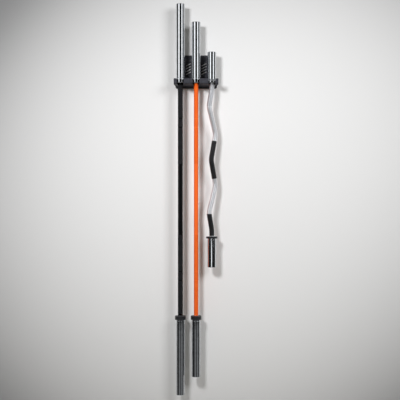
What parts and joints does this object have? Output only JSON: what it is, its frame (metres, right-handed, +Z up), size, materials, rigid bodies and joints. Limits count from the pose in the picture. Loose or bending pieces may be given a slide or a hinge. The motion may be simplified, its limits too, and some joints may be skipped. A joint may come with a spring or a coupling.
{
  "type": "barbell storage rack",
  "caption": "Wall-mounted vertical barbell rack: a slotted, lipped steel shelf on a wall plate, loaded with a long bar, a shorter bar and a zigzag curl bar hung by their collars.",
  "frame": {"origin": "centre of the wall plate's rear face, on the wall", "axes": "+Z up, along the hanging bars; +Y into the wall; +X to the right as seen by someone facing the wall"},
  "size_m": [0.25, 0.1777, 2.2],
  "materials": {
    "black_powder_coat": "semi-gloss black powder coat",
    "coated_weld": "weld bead under the same black coat",
    "zinc_steel": "zinc-plated steel",
    "liner_plastic": "waxy black wear plastic",
    "black_screw": "black oxide",
    "black_shaft_coat": "black coating over a knurled steel shaft",
    "orange_shaft_coat": "orange ceramic coating over a knurled steel shaft",
    "curl_shaft_chrome": "polished chrome with dark knurled grips",
    "sleeve_chrome": "bright turned chrome",
    "cap_chrome": "satin chrome",
    "bushing_bronze": "oiled sintered bronze",
    "washer_steel": "ground bright steel",
    "spring_steel": "dark phosphated spring steel"
  },
  "bodies": {
    "rack": {"wall_plate": "black_powder_coat", "shelf_tray": "black_powder_coat", "weld_bead_above": "coated_weld", "weld_bead_below": "coated_weld", "lag_screw_left_lower": "zinc_steel", "lag_screw_left_upper": "zinc_steel", "lag_screw_middle_lower": "zinc_steel", "lag_screw_middle_upper": "zinc_steel", "lag_screw_right_lower": "zinc_steel", "lag_screw_right_upper": "zinc_steel", "saddle_liner_left": "liner_plastic", "saddle_liner_middle": "liner_plastic", "saddle_liner_right": "liner_plastic", "liner_screw_left_1": "black_screw", "liner_screw_left_2": "black_screw", "liner_screw_middle_1": "black_screw", "liner_screw_middle_2": "black_screw", "liner_screw_right_1": "black_screw", "liner_screw_right_2": "black_screw"},
    "long_bar_upper": {"long_bar_top_sleeve": "sleeve_chrome", "long_bar_top_inner_bushing": "bushing_bronze", "long_bar_top_outer_bushing": "bushing_bronze", "long_bar_top_end_cap": "cap_chrome"},
    "long_bar_grip": {"long_bar_shaft": "black_shaft_coat", "long_bar_top_thrust_washer": "washer_steel", "long_bar_top_retaining_ring": "spring_steel", "long_bar_bottom_thrust_washer": "washer_steel", "long_bar_bottom_retaining_ring": "spring_steel"},
    "long_bar_lower": {"long_bar_bottom_sleeve": "sleeve_chrome", "long_bar_bottom_inner_bushing": "bushing_bronze", "long_bar_bottom_outer_bushing": "bushing_bronze", "long_bar_bottom_end_cap": "cap_chrome"},
    "middle_bar_upper": {"middle_bar_top_sleeve": "sleeve_chrome", "middle_bar_top_inner_bushing": "bushing_bronze", "middle_bar_top_outer_bushing": "bushing_bronze", "middle_bar_top_end_cap": "cap_chrome"},
    "middle_bar_grip": {"middle_bar_shaft": "orange_shaft_coat", "middle_bar_top_thrust_washer": "washer_steel", "middle_bar_top_retaining_ring": "spring_steel", "middle_bar_bottom_thrust_washer": "washer_steel", "middle_bar_bottom_retaining_ring": "spring_steel"},
    "middle_bar_lower": {"middle_bar_bottom_sleeve": "sleeve_chrome", "middle_bar_bottom_inner_bushing": "bushing_bronze", "middle_bar_bottom_outer_bushing": "bushing_bronze", "middle_bar_bottom_end_cap": "cap_chrome"},
    "curl_bar_upper": {"curl_bar_top_sleeve": "sleeve_chrome", "curl_bar_top_inner_bushing": "bushing_bronze", "curl_bar_top_outer_bushing": "bushing_bronze", "curl_bar_top_end_cap": "cap_chrome"},
    "curl_bar_grip": {"curl_bar_shaft": "curl_shaft_chrome", "curl_bar_top_thrust_washer": "washer_steel", "curl_bar_top_retaining_ring": "spring_steel", "curl_bar_bottom_thrust_washer": "washer_steel", "curl_bar_bottom_retaining_ring": "spring_steel"},
    "curl_bar_lower": {"curl_bar_bottom_sleeve": "sleeve_chrome", "curl_bar_bottom_inner_bushing": "bushing_bronze", "curl_bar_bottom_outer_bushing": "bushing_bronze", "curl_bar_bottom_end_cap": "cap_chrome"}
  },
  "joints": [
    {"name": "long_bar_lift", "type": "slide", "parent": "rack", "child": "long_bar_upper", "axis": [0, 0, 1], "range_m": [0, 0.05]},
    {"name": "long_bar_shaft_spin", "type": "hinge", "parent": "long_bar_upper", "child": "long_bar_grip", "pos_m": [-0.0885, -0.075, -0.0729], "axis": [0, 0, 1], "continuous": true},
    {"name": "long_bar_lower_sleeve_spin", "type": "hinge", "parent": "long_bar_grip", "child": "long_bar_lower", "pos_m": [-0.0885, -0.075, -1.3829], "axis": [0, 0, 1], "continuous": true},
    {"name": "middle_bar_lift", "type": "slide", "parent": "rack", "child": "middle_bar_upper", "axis": [0, 0, 1], "range_m": [0, 0.05]},
    {"name": "middle_bar_shaft_spin", "type": "hinge", "parent": "middle_bar_upper", "child": "middle_bar_grip", "pos_m": [0, -0.075, -0.0729], "axis": [0, 0, 1], "continuous": true},
    {"name": "middle_bar_lower_sleeve_spin", "type": "hinge", "parent": "middle_bar_grip", "child": "middle_bar_lower", "pos_m": [0, -0.075, -1.3829], "axis": [0, 0, 1], "continuous": true},
    {"name": "curl_bar_lift", "type": "slide", "parent": "rack", "child": "curl_bar_upper", "axis": [0, 0, 1], "range_m": [0, 0.022]},
    {"name": "curl_bar_shaft_spin", "type": "hinge", "parent": "curl_bar_upper", "child": "curl_bar_grip", "pos_m": [0.0885, -0.075, -0.0729], "axis": [0, 0, 1], "continuous": true},
    {"name": "curl_bar_lower_sleeve_spin", "type": "hinge", "parent": "curl_bar_grip", "child": "curl_bar_lower", "pos_m": [0.0885, -0.075, -0.9369], "axis": [0, 0, 1], "continuous": true}
  ]
}
